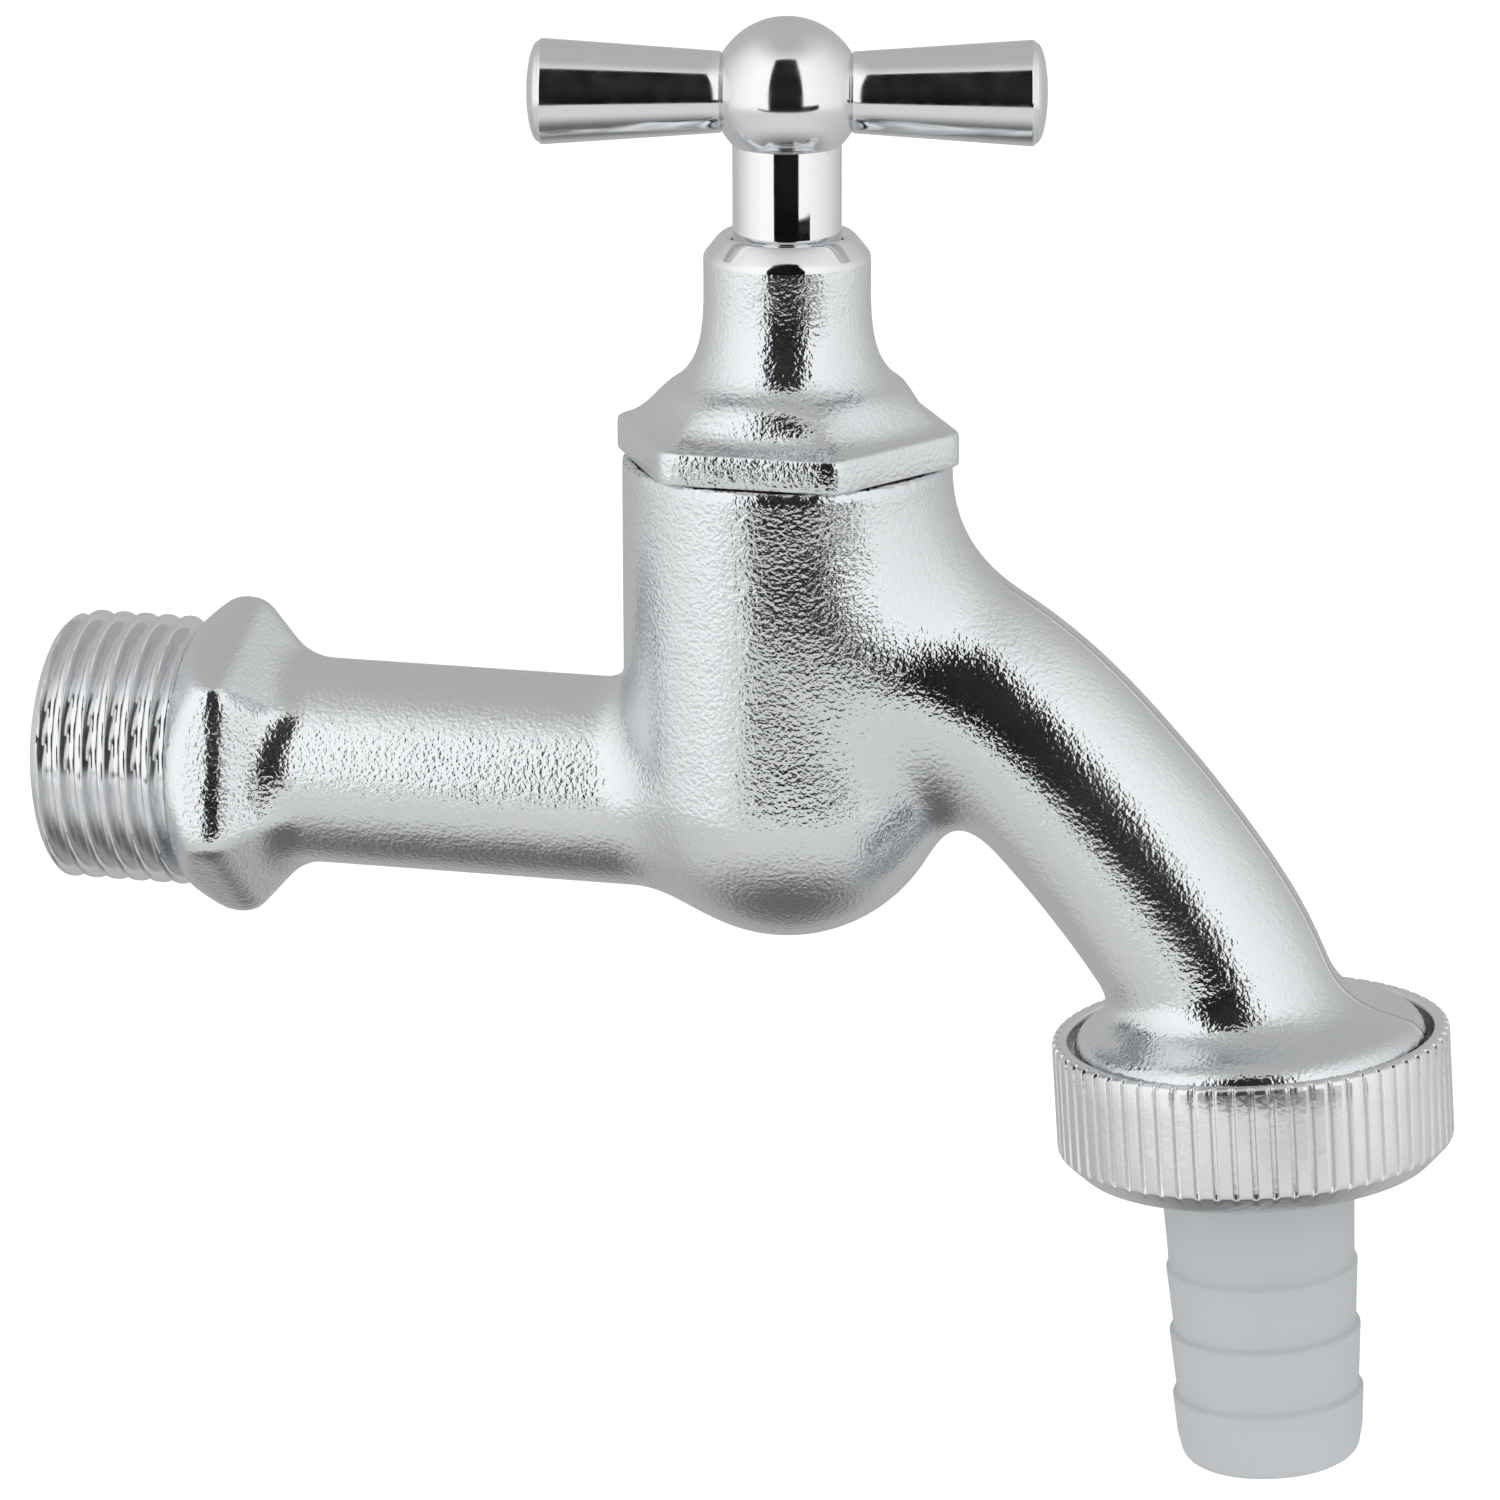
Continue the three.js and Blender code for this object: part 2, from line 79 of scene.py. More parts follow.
STEM_X = joint("handle_turn")["pos_m"][0] / MM
BALL_Z = joint("handle_turn")["pos_m"][2] / MM
OUTLET_AT = np.array(joint("nut_turn")["pos_m"]) / MM
OUTLET_DOWN = np.array(joint("nut_turn")["axis"])
OUTLET_DOWN = OUTLET_DOWN / np.linalg.norm(OUTLET_DOWN)
INLET_END = node_box("valve_body")[0][0]
PIPE_PITCH = 1.814

# Radii, heights and lengths of the casting's skin.
TUBE_R = 7.96
BODY_R = 12.5
BODY_TOP = 26.42
DOME_Z = 1.6
SPOUT_R = 8.2
SPOUT_KNOTS = [[3, 15.2], [15.65, 8.5], [24.3, 0.65], [32.1, -9.2], [36.1, -17.4]]
FLANGE_R = 13.5
FLANGE_BELOW = 1.1
FLANGE_DOME_R = 37.6
FLANGE_DOME_CENTRE = 34.7
COLLAR_HALF_FLATS = 11
COLLAR_TURN = -8
COLLAR_CONE_R = 10.3
COLLAR_CONE_SLOPE = 0.95
COLLAR_FLATS_END = 4.5
COLLAR_BACK_SLOPE = 1.0

# Fillets between its parts.
TUBE_TO_COLLAR = 1.4
TUBE_TO_BODY = 2.6
BODY_TO_SPOUT = 5.5
SPOUT_TO_FLANGE = 3.0

# Its water way.
INLET_BORE = 6.0
OUTLET_BORE = 6.4
SPOUT_BORE = 5.8
LOWER_CHAMBER_R = 10
LOWER_CHAMBER_TOP = 6.2
SEAT_BORE = 4.8
SEAT_CROWN_R = 6.1
SEAT_CROWN_Z = 9.6
UPPER_CHAMBER_R = 9.4
UPPER_CHAMBER_FLOOR = 8.2
SPIGOT_SEAT_R = 9.9
SPIGOT_SEAT_Z = 17.6
GASKET_SEAT_R = 11.4
GASKET_SEAT_Z = 25.2

# Threads: crest and root radii.
INLET_MAJOR = 10.478
INLET_MINOR = 9.317
OUTLET_MAJOR = 13.22
OUTLET_MINOR = 12.06

# ---------- Camera ----------

AZIMUTH = math.radians(14.86)
ELEVATION = math.radians(15.71)
ROLL = 0.0027
DISTANCE = 564.7
AIM_RIGHT = 2.89
AIM_UP = -3.22
LENS = 177.05


def add_camera():
    right = Vector((math.cos(AZIMUTH), math.sin(AZIMUTH), 0))
    ahead = Vector((-math.sin(AZIMUTH), math.cos(AZIMUTH), 0))
    forward = ahead * math.cos(ELEVATION) - Vector((0, 0, math.sin(ELEVATION)))
    up = Vector((0, 0, math.cos(ELEVATION))) + ahead * math.sin(ELEVATION)
    place = Vector((STEM_X, 0, 0)) - forward * DISTANCE - right * AIM_RIGHT - up * AIM_UP
    right, up = (
        right * math.cos(ROLL) - up * math.sin(ROLL),
        right * math.sin(ROLL) + up * math.cos(ROLL),
    )
    data = bpy.data.cameras.new("camera")
    data.sensor_width = 36
    data.lens = LENS
    data.clip_start = 0.01
    data.clip_end = 20
    camera = bpy.data.objects.new("camera", data)
    bpy.context.scene.collection.objects.link(camera)
    turn = Matrix((right, up, -forward)).transposed().to_4x4()
    camera.matrix_world = Matrix.Translation(place * MM) @ turn
    bpy.context.scene.camera = camera


add_camera()

# ---------- Node helpers ----------


class Nodes:
    """A node tree, emptied, with short ways to add and join its nodes."""

    def __init__(self, tree):
        self.tree = tree
        tree.nodes.clear()

    def add(self, kind, inputs=None, **settings):
        node = self.tree.nodes.new(kind)
        for key, value in settings.items():
            setattr(node, key, value)
        for key, value in (inputs or {}).items():
            if isinstance(value, bpy.types.NodeSocket):
                self.tree.links.new(value, node.inputs[key])
            else:
                node.inputs[key].default_value = value
        return node

    def math(self, operation, first, second=0.0):
        return self.add("ShaderNodeMath", {0: first, 1: second}, operation=operation).outputs[0]

    def between(self, value, low, high, to_low=0.0, to_high=1.0, smooth=True):
        kind = "SMOOTHSTEP" if smooth else "LINEAR"
        inputs = {
            "Value": value, "From Min": low, "From Max": high, "To Min": to_low, "To Max": to_high,
        }
        return self.add("ShaderNodeMapRange", inputs, interpolation_type=kind).outputs["Result"]

    def ramp(self, value, stops):
        node = self.add("ShaderNodeValToRGB", {"Fac": value})
        elements = node.color_ramp.elements
        while len(elements) < len(stops):
            elements.new(0.5)
        for element, (position, level) in zip(elements, stops):
            element.position = position
            element.color = (level, level, level, 1)
        return node.outputs["Color"]

    def mix(self, share, first, second):
        node = self.add("ShaderNodeMix", data_type="RGBA")
        for index, value in ((0, share), (6, first), (7, second)):
            if isinstance(value, bpy.types.NodeSocket):
                self.tree.links.new(value, node.inputs[index])
            else:
                node.inputs[index].default_value = value
        return node.outputs[2]


# ---------- Studio: white walls, a dark gap at the camera, a white table ----------


def turn_stops(levels):
    """Ramp stops from (degrees from the camera, light level) pairs."""
    return [((degrees + 180) / 360, level / CHROME_GAIN) for degrees, level in levels]


# Light levels as the chrome shows them, against degrees round from the camera.
CHROME_GAIN = 0.8
WALLS = [
    (-180, 0.40), (-135, 0.45), (-110, 0.62), (-80, 0.84), (-52, 0.94), (0, 0.92),
    (35, 0.90), (62, 0.82), (90, 0.72), (120, 0.55), (148, 0.43), (180, 0.40),
]
TABLE = [
    (-180, 0.38), (-120, 0.40), (-85, 0.56), (-30, 0.62),
    (40, 0.62), (90, 0.52), (135, 0.44), (180, 0.38),
]
CEILING = 0.42
UNDERSIDE = 0.13

# The black card's distance and its corners (right, up) in metres from the stem's axis.
CARD_AWAY = 0.375
CARD = [
    (-0.215, 0.74), (-0.2, -0.083), (-0.38, -0.088), (-0.38, -0.108), (-0.24, -0.106),
    (-0.15, -0.094), (0.0, -0.085), (0.2, -0.098), (0.3, -0.11), (0.43, -0.115),
    (0.43, -0.05), (0.165, -0.03), (0.165, 0.74),
]


def add_studio():
    world = bpy.data.worlds.new("studio")
    bpy.context.scene.world = world
    world.use_nodes = True
    n = Nodes(world.node_tree)
    direction = n.add("ShaderNodeTexCoord").outputs["Generated"]
    flat = n.add("ShaderNodeVectorRotate", {"Vector": direction, "Angle": -AZIMUTH}, rotation_type="Z_AXIS")
    axes = n.add("ShaderNodeSeparateXYZ", {0: flat.outputs[0]}).outputs
    to_camera = n.math("MULTIPLY", axes["Y"], -1.0)
    azimuth = n.math("DEGREES", n.math("ARCTAN2", axes["X"], to_camera))
    elevation = n.math("DEGREES", n.math("ARCSINE", axes["Z"]))
    share = n.between(azimuth, -180, 180, smooth=False)
    walls = n.ramp(share, turn_stops(WALLS))
    table = n.ramp(share, turn_stops(TABLE))
    top = CEILING / CHROME_GAIN
    upper = n.mix(n.between(elevation, 42, 82), walls, (top, top, top, 1))
    light = n.mix(n.between(elevation, -12, -24), upper, table)
    under = UNDERSIDE / CHROME_GAIN
    seen = n.mix(n.between(elevation, -42, -78), light, (under, under, under, 1))
    white = n.add("ShaderNodeBackground", {"Color": (1, 1, 1, 1), "Strength": 1.0})
    studio = n.add("ShaderNodeBackground", {"Color": seen, "Strength": 1.0})
    is_camera = n.add("ShaderNodeLightPath").outputs["Is Camera Ray"]
    both = n.add("ShaderNodeMixShader", {0: is_camera, 1: studio.outputs[0], 2: white.outputs[0]})
    n.add("ShaderNodeOutputWorld", {"Surface": both.outputs[0]})


def add_floor():
    """A wide pale disc, well under the tap, which hangs from its wall pipe."""
    radius, rings, spokes = 4.0, 12, 64
    low = cad_bounds[0].z - 0.09
    points = [(0.05, 0, low)]
    for i in range(1, rings + 1):
        for j in range(spokes):
            angle = TAU * j / spokes
            reach = radius * (i / rings) ** 2
            points.append((0.05 + reach * math.cos(angle), reach * math.sin(angle), low))
    faces = [(0, 1 + j, 1 + (j + 1) % spokes) for j in range(spokes)]
    for i in range(rings - 1):
        for j in range(spokes):
            a, b = 1 + i * spokes + j, 1 + i * spokes + (j + 1) % spokes
            faces.append((a, a + spokes, b + spokes, b))
    data = bpy.data.meshes.new("floor")
    data.from_pydata(points, [], faces)
    floor = bpy.data.objects.new("floor", data)
    bpy.context.scene.collection.objects.link(floor)
    floor.visible_glossy = False
    material = bpy.data.materials.new("floor")
    material.use_nodes = True
    n = Nodes(material.node_tree)
    surface = n.add("ShaderNodeBsdfPrincipled", {
        "Base Color": (0.9, 0.9, 0.9, 1), "Roughness": 0.9,
        "Emission Color": (1, 1, 1, 1), "Emission Strength": 0.42,
    })
    n.add("ShaderNodeOutputMaterial", {"Surface": surface.outputs[0]})
    data.materials.append(material)


def add_card():
    """The dark gap that the chrome mirrors: a black card in front of the tap, hidden from the camera."""
    right = Vector((math.cos(AZIMUTH), math.sin(AZIMUTH), 0))
    toward = Vector((math.sin(AZIMUTH), -math.cos(AZIMUTH), 0))
    centre = Vector((STEM_X * MM, 0, 0)) + toward * CARD_AWAY
    data = bpy.data.meshes.new("card")
    points = [centre + right * u + Vector((0, 0, v)) for u, v in CARD]
    data.from_pydata(points, [], [tuple(range(len(points)))])
    card = bpy.data.objects.new("card", data)
    bpy.context.scene.collection.objects.link(card)
    card.visible_camera = False
    card.visible_diffuse = False
    card.visible_shadow = False
    material = bpy.data.materials.new("card")
    material.use_nodes = True
    n = Nodes(material.node_tree)
    dark = n.add("ShaderNodeEmission", {"Color": (0.005, 0.0054, 0.0058, 1), "Strength": 1.0})
    n.add("ShaderNodeOutputMaterial", {"Surface": dark.outputs[0]})
    data.materials.append(material)


add_studio()
add_floor()
add_card()
bpy.context.scene.view_settings.view_transform = "Standard"

# ---------- Materials ----------


def new_material(name):
    material = bpy.data.materials.new(name)
    material.use_nodes = True
    return material, Nodes(material.node_tree)


def finish_material(n, inputs):
    surface = n.add("ShaderNodeBsdfPrincipled", inputs)
    n.add("ShaderNodeOutputMaterial", {"Surface": surface.outputs[0]})


def bumped(n, height, distance, normal=None):
    inputs = {"Height": height, "Distance": distance}
    if normal is not None:
        inputs["Normal"] = normal
    return n.add("ShaderNodeBump", inputs).outputs["Normal"]


def cast_chrome():
    """Chrome over a cast skin: pebbled grain, a faint parting line and uneven polish."""
    material, n = new_material("cast_chrome")
    place = n.add("ShaderNodeTexCoord").outputs["Object"]
    grain = n.add("ShaderNodeTexNoise", {"Vector": place, "Scale": 3100.0, "Detail": 1.0})
    lumps = n.add("ShaderNodeTexNoise", {"Vector": place, "Scale": 420.0, "Detail": 2.0})
    patches = n.add("ShaderNodeTexNoise", {"Vector": place, "Scale": 90.0, "Detail": 3.0})
    across = n.add("ShaderNodeSeparateXYZ", {0: place}).outputs["Y"]
    line = n.between(n.math("ABSOLUTE", across), 0.0001, 0.0004, 1.0, 0.0)
    spout_side = n.between(n.add("ShaderNodeSeparateXYZ", {0: place}).outputs["X"], 0.062, 0.066)
    seam = n.math("MULTIPLY", line, spout_side)
    normal = bumped(n, lumps.outputs["Fac"], 0.00005)
    normal = bumped(n, grain.outputs["Fac"], 0.000055, normal=normal)
    normal = bumped(n, seam, 0.0001, normal=normal)
    roughness = n.between(patches.outputs["Fac"], 0.3, 0.7, 0.12, 0.19)
    color = n.mix(patches.outputs["Fac"], (0.72, 0.742, 0.757, 1), (0.79, 0.807, 0.82, 1))
    finish_material(n, {"Base Color": color, "Metallic": 1.0, "Roughness": roughness, "Normal": normal})
    return material


def polished_chrome(name, low, high):
    """Mirror chrome with hair-fine polishing marks."""
    material, n = new_material(name)
    place = n.add("ShaderNodeTexCoord").outputs["Object"]
    marks = n.add("ShaderNodeTexNoise", {"Vector": place, "Scale": 700.0, "Detail": 4.0})
    roughness = n.between(marks.outputs["Fac"], 0.3, 0.7, low, high)
    color = n.mix(marks.outputs["Fac"], (0.79, 0.80, 0.81, 1), (0.83, 0.84, 0.85, 1))
    finish_material(n, {"Base Color": color, "Metallic": 1.0, "Roughness": roughness})
    return material


def turned_chrome(name, low, high):
    """Plated turning: soft gloss with a light speckle."""
    material, n = new_material(name)
    place = n.add("ShaderNodeTexCoord").outputs["Object"]
    speckle = n.add("ShaderNodeTexNoise", {"Vector": place, "Scale": 2200.0, "Detail": 2.0})
    patches = n.add("ShaderNodeTexNoise", {"Vector": place, "Scale": 160.0, "Detail": 3.0})
    normal = bumped(n, speckle.outputs["Fac"], 0.00002)
    roughness = n.between(patches.outputs["Fac"], 0.3, 0.7, low, high)
    color = n.mix(patches.outputs["Fac"], (0.78, 0.79, 0.80, 1), (0.85, 0.86, 0.87, 1))
    finish_material(n, {"Base Color": color, "Metallic": 1.0, "Roughness": roughness, "Normal": normal})
    return material


def grey_plastic():
    """Matte moulded plastic with a fine spark-eroded grain."""
    material, n = new_material("grey_plastic")
    place = n.add("ShaderNodeTexCoord").outputs["Object"]
    grain = n.add("ShaderNodeTexNoise", {"Vector": place, "Scale": 3000.0, "Detail": 2.0})
    flow = n.add("ShaderNodeTexNoise", {"Vector": place, "Scale": 120.0, "Detail": 3.0})
    normal = bumped(n, grain.outputs["Fac"], 0.00002)
    color = n.mix(flow.outputs["Fac"], (0.44, 0.457, 0.47, 1), (0.49, 0.507, 0.52, 1))
    roughness = n.between(flow.outputs["Fac"], 0.3, 0.7, 0.42, 0.55)
    finish_material(n, {"Base Color": color, "Roughness": roughness, "Normal": normal})
    return material


def turned_brass():
    material, n = new_material("turned_brass")
    place = n.add("ShaderNodeTexCoord").outputs["Object"]
    height = n.add("ShaderNodeSeparateXYZ", {0: place}).outputs["Z"]
    rings = n.math("SINE", n.math("MULTIPLY", height, 60000.0))
    tarnish = n.add("ShaderNodeTexNoise", {"Vector": place, "Scale": 350.0, "Detail": 3.0})
    color = n.mix(tarnish.outputs["Fac"], (0.72, 0.53, 0.24, 1), (0.86, 0.68, 0.36, 1))
    normal = bumped(n, rings, 0.000004)
    finish_material(n, {"Base Color": color, "Metallic": 1.0, "Roughness": 0.3, "Normal": normal})
    return material


def soft_solid(name, dark, light, roughness, scale):
    """Rubber and fibre: dull, with a fine uneven surface."""
    material, n = new_material(name)
    place = n.add("ShaderNodeTexCoord").outputs["Object"]
    grain = n.add("ShaderNodeTexNoise", {"Vector": place, "Scale": scale, "Detail": 4.0})
    color = n.mix(grain.outputs["Fac"], dark, light)
    normal = bumped(n, grain.outputs["Fac"], 0.00003)
    finish_material(n, {"Base Color": color, "Roughness": roughness, "Normal": normal})
    return material


CAST = cast_chrome()
POLISHED = polished_chrome("polished_chrome", 0.05, 0.09)
HANDLE_CHROME = polished_chrome("handle_chrome", 0.09, 0.14)
NUT_CHROME = turned_chrome("nut_chrome", 0.2, 0.3)
THREAD_CHROME = polished_chrome("thread_chrome", 0.14, 0.2)
GREY_PLASTIC = grey_plastic()
BRASS = turned_brass()
RUBBER = soft_solid("rubber", (0.012, 0.012, 0.013, 1), (0.03, 0.03, 0.031, 1), 0.62, 1500.0)
FIBRE = soft_solid("fibre", (0.22, 0.05, 0.03, 1), (0.36, 0.10, 0.06, 1), 0.9, 2500.0)
BLACK_STEEL = soft_solid("black_steel", (0.015, 0.015, 0.016, 1), (0.03, 0.03, 0.032, 1), 0.35, 900.0)

# ---------- Mesh helpers ----------

UPRIGHT = Matrix.Translation((STEM_X, 0, 0))
ALONG_X = Matrix.Rotation(math.pi / 2, 4, "Y")


def outlet_frame():
    """Local Z runs down the outlet's axis from the nut's top rim."""
    down = Vector(OUTLET_DOWN)
    across = Vector((0, 1, 0))
    side = across.cross(down).normalized()
    turn = Matrix((side, across, down)).transposed().to_4x4()
    return Matrix.Translation(Vector(OUTLET_AT)) @ turn


OUTLET = outlet_frame()


def add_piece(name, points, faces, body, node, materials, place=Matrix(), sharp=35):
    """A shaded piece in metres that rides on a body and stands for a CAD node."""
    data = bpy.data.meshes.new(name)
    data.from_pydata(points, [], faces)
    data.transform(Matrix.Scale(MM, 4) @ place)
    data.validate()
    for material in materials:
        data.materials.append(material)
    piece = bpy.data.objects.new(name, data)
    bpy.context.scene.collection.objects.link(piece)
    data.shade_smooth()
    data.set_sharp_from_angle(angle=math.radians(sharp))
    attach(piece, body)
    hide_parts(node)
    return piece


def skin(rings, closed=False):
    """Points and quads over rings of equal length; closed joins the last ring to the first."""
    count = len(rings[0])
    points = np.concatenate(rings).tolist()
    faces = []
    steps = len(rings) if closed else len(rings) - 1
    for k in range(steps):
        a0, b0 = k * count, ((k + 1) % len(rings)) * count
        faces += [
            (a0 + i, a0 + (i + 1) % count, b0 + (i + 1) % count, b0 + i) for i in range(count)
        ]
    if not closed:
        faces.append(tuple(reversed(range(count))))
        faces.append(tuple(range((len(rings) - 1) * count, len(rings) * count)))
    return points, faces


def ring(height, radius, count):
    """A ring about Z; radius is a number or one value for each point."""
    angle = np.arange(count) * TAU / count
    radius = np.broadcast_to(radius, (count,))
    heights = np.broadcast_to(height, (count,))
    return np.stack([radius * np.cos(angle), radius * np.sin(angle), heights], 1)


def rounded(outline, radius, steps=4):
    """A closed [radius, height] outline with each corner turned into a short arc."""
    made = []
    total = len(outline)
    for i, corner in enumerate(np.array(outline, float)):
        before = np.array(outline[i - 1], float) - corner
        after = np.array(outline[(i + 1) % total], float) - corner
        reach = min(radius, np.linalg.norm(before) * 0.45, np.linalg.norm(after) * 0.45)
        start = corner + before / np.linalg.norm(before) * reach
        end = corner + after / np.linalg.norm(after) * reach
        for t in np.linspace(0, 1, steps + 1):
            made.append((1 - t) ** 2 * start + 2 * t * (1 - t) * corner + t * t * end)
    return made


def revolve(outline, count):
    """A closed solid of revolution; an outline clear of the axis makes a ring-shaped solid."""
    rings = [ring(z, r, count) for r, z in outline]
    return skin(rings, closed=True)


def revolve_on_axis(outline, count):
    """A solid whose outline starts and ends on the axis."""
    inner = outline[1:-1]
    rings = [ring(z, r, count) for r, z in inner]
    points, faces = skin(rings)
    faces = faces[:-2]
    points += [[0, 0, outline[0][1]], [0, 0, outline[-1][1]]]
    first, last = len(points) - 2, len(points) - 1
    top = (len(rings) - 1) * count
    faces += [(first, (i + 1) % count, i) for i in range(count)]
    faces += [(last, top + i, top + (i + 1) % count) for i in range(count)]
    return points, faces


def arc(centre_r, centre_z, radius, start, end, steps):
    turns = np.radians(np.linspace(start, end, steps + 1))
    return [(centre_r + radius * math.cos(t), centre_z + radius * math.sin(t)) for t in turns]


def hexagon(count, half_flats, sharpness=60):
    """Radii of a hexagon with softened corners, one corner at angle zero."""
    angle = np.arange(count) * TAU / count
    spread = sum(np.abs(np.cos(angle - math.radians(30 + 60 * k))) ** sharpness for k in range(3))
    return half_flats / spread ** (1 / sharpness)


def thread_depth(phase, pitch, depth):
    """Depth of a rounded Whitworth groove at a phase of 0 to 1 along the pitch."""
    offset = np.abs(phase - 0.5) * 2
    flank = np.clip((offset - 1 / 6) / (4 / 6), 0, 1)
    return depth * flank * flank * (3 - 2 * flank)


# ---------- The casting, as one field of distances ----------

VOXEL = 0.45


def smooth_min(a, b, k):
    """The lesser of two fields, with a fillet of size k where they meet."""
    h = np.clip(0.5 + 0.5 * (b - a) / k, 0, 1)
    return b * (1 - h) + a * h - k * h * (1 - h)


def smooth_max(a, b, k):
    return -smooth_min(-a, -b, k)


def spout_curve(t):
    """Centre of the spout in the XZ plane for t from 0 to 1, from inside the body to the outlet."""
    knots = np.array(SPOUT_KNOTS)
    ends = np.vstack([2 * knots[0] - knots[1], knots, 2 * knots[-1] - knots[-2]])
    at = np.clip(t * (len(knots) - 1), 0, len(knots) - 1 - 1e-6)
    i = int(at)
    u = at - i
    p0, p1, p2, p3 = ends[i:i + 4]
    curve = 0.5 * (2 * p1 + (p2 - p0) * u + (2 * p0 - 5 * p1 + 4 * p2 - p3) * u**2
                   + (3 * p1 - p0 - 3 * p2 + p3) * u**3)
    return np.array([STEM_X + curve[0], curve[1]])


def distance_to_spout(x, y, z, steps=36):
    """Distance from each point to the spout's centre line."""
    knots = [spout_curve(t) for t in np.linspace(0, 1, steps + 1)]
    nearest = np.full(np.broadcast(x, y, z).shape, 1e3, np.float32)
    for a, b in zip(knots, knots[1:]):
        along = b - a
        share = ((x - a[0]) * along[0] + (z - a[1]) * along[1]) / (along @ along)
        share = np.clip(share, 0, 1)
        gap = (x - a[0] - share * along[0]) ** 2 + (z - a[1] - share * along[1]) ** 2 + y**2
        nearest = np.minimum(nearest, gap.astype(np.float32))
    return np.sqrt(nearest)


def hex_reach(y, z, turn):
    """Half-flat distance of a hexagon whose corner is up when turn is zero."""
    reach = 0
    for k in range(3):
        angle = math.radians(60 * k) + turn
        reach = reach + (np.abs(y * math.cos(angle) + z * math.sin(angle)) / 16) ** 28
    return 16 * reach ** (1 / 28)


def casting_field(x, y, z):
    """Distance-like field of the valve body's skin, negative inside."""
    off_inlet = np.sqrt(y**2 + z**2)
    tube = np.maximum(off_inlet - TUBE_R, np.maximum(3 - x, x - STEM_X))

    hex_r = hex_reach(y, z, math.radians(COLLAR_TURN))
    prism = hex_r - COLLAR_HALF_FLATS
    front = (off_inlet - (COLLAR_CONE_R + COLLAR_CONE_SLOPE * x)) / 1.38
    back = (hex_r - (COLLAR_HALF_FLATS - COLLAR_BACK_SLOPE * (x - COLLAR_FLATS_END))) / 1.41
    collar = smooth_max(smooth_max(prism, front, 0.6), back, 0.7)
    collar = np.maximum(collar, -x)

    off_stem = np.sqrt((x - STEM_X) ** 2 + y**2)
    below = np.minimum(z - DOME_Z, 0)
    body = np.sqrt(off_stem**2 + below**2) - BODY_R

    spout = distance_to_spout(x, y, z) - SPOUT_R

    rel_x, rel_z = x - OUTLET_AT[0], z - OUTLET_AT[2]
    down = rel_x * OUTLET_DOWN[0] + rel_z * OUTLET_DOWN[2]
    off_outlet = np.sqrt(np.maximum(rel_x**2 + y**2 + rel_z**2 - down**2, 0))
    dome = np.sqrt(off_outlet**2 + (down - FLANGE_DOME_CENTRE) ** 2) - FLANGE_DOME_R
    flange = smooth_max(smooth_max(off_outlet - FLANGE_R, dome, 1.6), down - FLANGE_BELOW, 0.3)

    outside = smooth_min(tube, collar, TUBE_TO_COLLAR)
    outside = smooth_min(outside, body, TUBE_TO_BODY)
    outside = smooth_min(outside, spout, BODY_TO_SPOUT)
    outside = np.where(down > FLANGE_BELOW, np.maximum(outside, down - FLANGE_BELOW), outside)
    outside = smooth_min(outside, flange, SPOUT_TO_FLANGE)
    outside = np.maximum(outside, down - FLANGE_BELOW)
    outside = smooth_max(outside, z - BODY_TOP, 0.3)
    return np.maximum(outside, -water_way(x, y, z, off_inlet, off_stem, off_outlet, down))


def water_way(x, y, z, off_inlet, off_stem, off_outlet, down):
    """The bores and chambers inside the casting, negative inside."""
    lower = np.sqrt(off_stem**2 + (z - DOME_Z) ** 2) - LOWER_CHAMBER_R
    floor = np.where(off_stem < SEAT_CROWN_R, SEAT_CROWN_Z, UPPER_CHAMBER_FLOOR)
    wall = np.where(z > SPIGOT_SEAT_Z, SPIGOT_SEAT_R, UPPER_CHAMBER_R)
    spaces = [
        np.maximum(off_inlet - INLET_BORE, x - STEM_X),
        np.maximum(lower, z - LOWER_CHAMBER_TOP),
        np.maximum(off_stem - SEAT_BORE, np.maximum(5 - z, z - 12)),
        np.maximum(off_stem - wall, floor - z),
        np.maximum(off_stem - GASKET_SEAT_R, GASKET_SEAT_Z - z),
        distance_to_spout(x, y, z, 18) - SPOUT_BORE,
        np.maximum(off_outlet - OUTLET_BORE, -1.5 - down),
    ]
    return np.minimum.reduce(spaces)


def casting():
    """Points and faces of the casting's skin, from its field on a grid of voxels."""
    low = np.array([-1.2, -14.4, -19.6])
    high = np.array([OUTLET_AT[0] + 15, 14.4, BODY_TOP + 1.2])
    counts = np.ceil((high - low) / VOXEL).astype(int) + 1
    axes = [(low[i] + VOXEL * np.arange(counts[i])).astype(np.float32) for i in range(3)]
    x, y, z = np.meshgrid(*axes, indexing="ij")
    field = casting_field(x, y, z).astype(np.float32)
    limit = 3 * VOXEL
    grid = openvdb.FloatGrid(limit)
    grid.copyFromArray(np.clip(field, -limit, limit))
    points, quads = grid.convertToQuads(isovalue=0.0)
    points = points * VOXEL + low
    return points.tolist(), [tuple(reversed(q)) for q in quads.tolist()]


def add_casting():
    points, faces = casting()
    add_piece("body_casting", points, faces, "valve", "valve_body", [CAST], sharp=50)


# ---------- Threads ----------


